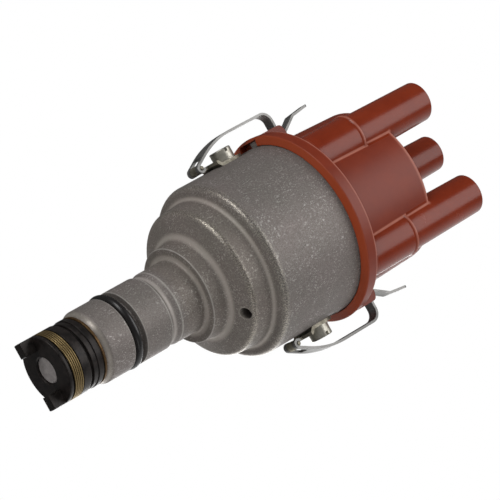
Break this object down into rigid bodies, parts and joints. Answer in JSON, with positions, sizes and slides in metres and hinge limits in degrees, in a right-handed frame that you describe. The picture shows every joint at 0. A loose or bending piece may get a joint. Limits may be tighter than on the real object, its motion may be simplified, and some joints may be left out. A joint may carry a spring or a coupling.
{
  "type": "ignition distributor",
  "caption": "Ignition distributor: cast aluminium casing with shank and tongue drive, driven rotor and advance weights, and a clipped-on cap with lead towers.",
  "frame": {"origin": "on the shaft axis, at the lower end of the shank's pilot diameter", "axes": "+Z along the shaft from the drive dog to the cap, +X and -X through the two cap clips, +Y towards the pickup lead outlet"},
  "size_m": [0.0846, 0.072, 0.1918],
  "materials": {
    "cast_aluminium": "tumbled casting, fine sparkle, brighter edges",
    "sintered_bronze": "sintered, dull",
    "black_rubber": "moulded",
    "black_steel": "black oxide, oiled",
    "bright_steel": "turned",
    "wire_brass": "drawn wire, passivated",
    "shim_brass": "rolled, tarnished",
    "spring_steel": "bright rolled strip",
    "zinc_steel": "zinc plated, faint yellow passivation",
    "brown_moulding": "compression moulded, semi gloss, red brown",
    "black_moulding": "moulded, matt",
    "terminal_brass": "turned",
    "magnet": "sintered",
    "carbon": "pressed carbon"
  },
  "bodies": {
    "housing": {"casing": "cast_aluminium", "lower_bush": "sintered_bronze", "upper_bush": "sintered_bronze", "shank_o_ring": "black_rubber", "pickup_plate": "zinc_steel", "plate_screws": "zinc_steel", "pickup_module": "black_moulding", "lead_grommet": "black_rubber", "cap": "brown_moulding", "side_terminals": "terminal_brass", "centre_terminal": "terminal_brass", "brush_spring": "spring_steel", "clip_bracket_left": "zinc_steel", "clip_pin_left": "black_steel", "clip_screw_left": "zinc_steel", "clip_screw_washer_left": "zinc_steel", "clip_bracket_right": "zinc_steel", "clip_pin_right": "black_steel", "clip_screw_right": "zinc_steel", "clip_screw_washer_right": "zinc_steel"},
    "drive": {"shaft": "bright_steel", "drive_dog": "black_steel", "dog_pin": "bright_steel", "pin_retaining_ring": "wire_brass", "thrust_washer": "black_steel", "spacer_washer": "black_steel", "steel_shim": "bright_steel", "bronze_shim": "shim_brass", "carrier_washer": "black_moulding", "weight_carrier": "bright_steel", "spindle_screw": "zinc_steel", "advance_springs": "spring_steel"},
    "spindle": {"advance_spindle": "bright_steel", "trigger_ring": "black_moulding", "ring_magnets": "magnet", "rotor_arm": "black_moulding", "rotor_blade": "terminal_brass"},
    "weight_a": {"advance_weight_a": "bright_steel"},
    "weight_b": {"advance_weight_b": "bright_steel"},
    "brush": {"carbon_brush": "carbon"},
    "clip_left": {"spring_clip_left": "spring_steel"},
    "clip_right": {"spring_clip_right": "spring_steel"}
  },
  "joints": [
    {"name": "shaft_spin", "type": "hinge", "parent": "housing", "child": "drive", "pos_m": [0, 0, 0], "axis": [0, 0, 1], "continuous": true},
    {"name": "spindle_advance", "type": "hinge", "parent": "drive", "child": "spindle", "pos_m": [0, 0, 0.06], "axis": [0, 0, 1], "range_deg": [0, 12], "stiffness_Nm_per_rad": 0.05, "springref_deg": -5.73, "deforming": ["advance_springs"]},
    {"name": "weight_a_swing", "type": "hinge", "parent": "drive", "child": "weight_a", "pos_m": [-0.0125, 0.0102, 0.059], "axis": [0, 0, 1], "range_deg": [0, 12]},
    {"name": "weight_b_swing", "type": "hinge", "parent": "drive", "child": "weight_b", "pos_m": [0.0125, -0.0102, 0.059], "axis": [0, 0, 1], "range_deg": [0, 12]},
    {"name": "brush_slide", "type": "slide", "parent": "housing", "child": "brush", "axis": [0, 0, 1], "range_m": [0, 0.002], "stiffness_N_per_m": 150, "springref_m": -0.002, "deforming": ["brush_spring"]},
    {"name": "clip_right_swing", "type": "hinge", "parent": "housing", "child": "clip_right", "pos_m": [0.0348, 0, 0.07325], "axis": [0, 1, 0], "range_deg": [0, 130]},
    {"name": "clip_left_swing", "type": "hinge", "parent": "housing", "child": "clip_left", "pos_m": [-0.0348, 0, 0.07325], "axis": [0, -1, 0], "range_deg": [0, 130]}
  ],
  "couplings": [
    {"joint": "weight_a_swing", "follows": "spindle_advance", "ratio": 1},
    {"joint": "weight_b_swing", "follows": "spindle_advance", "ratio": 1}
  ]
}
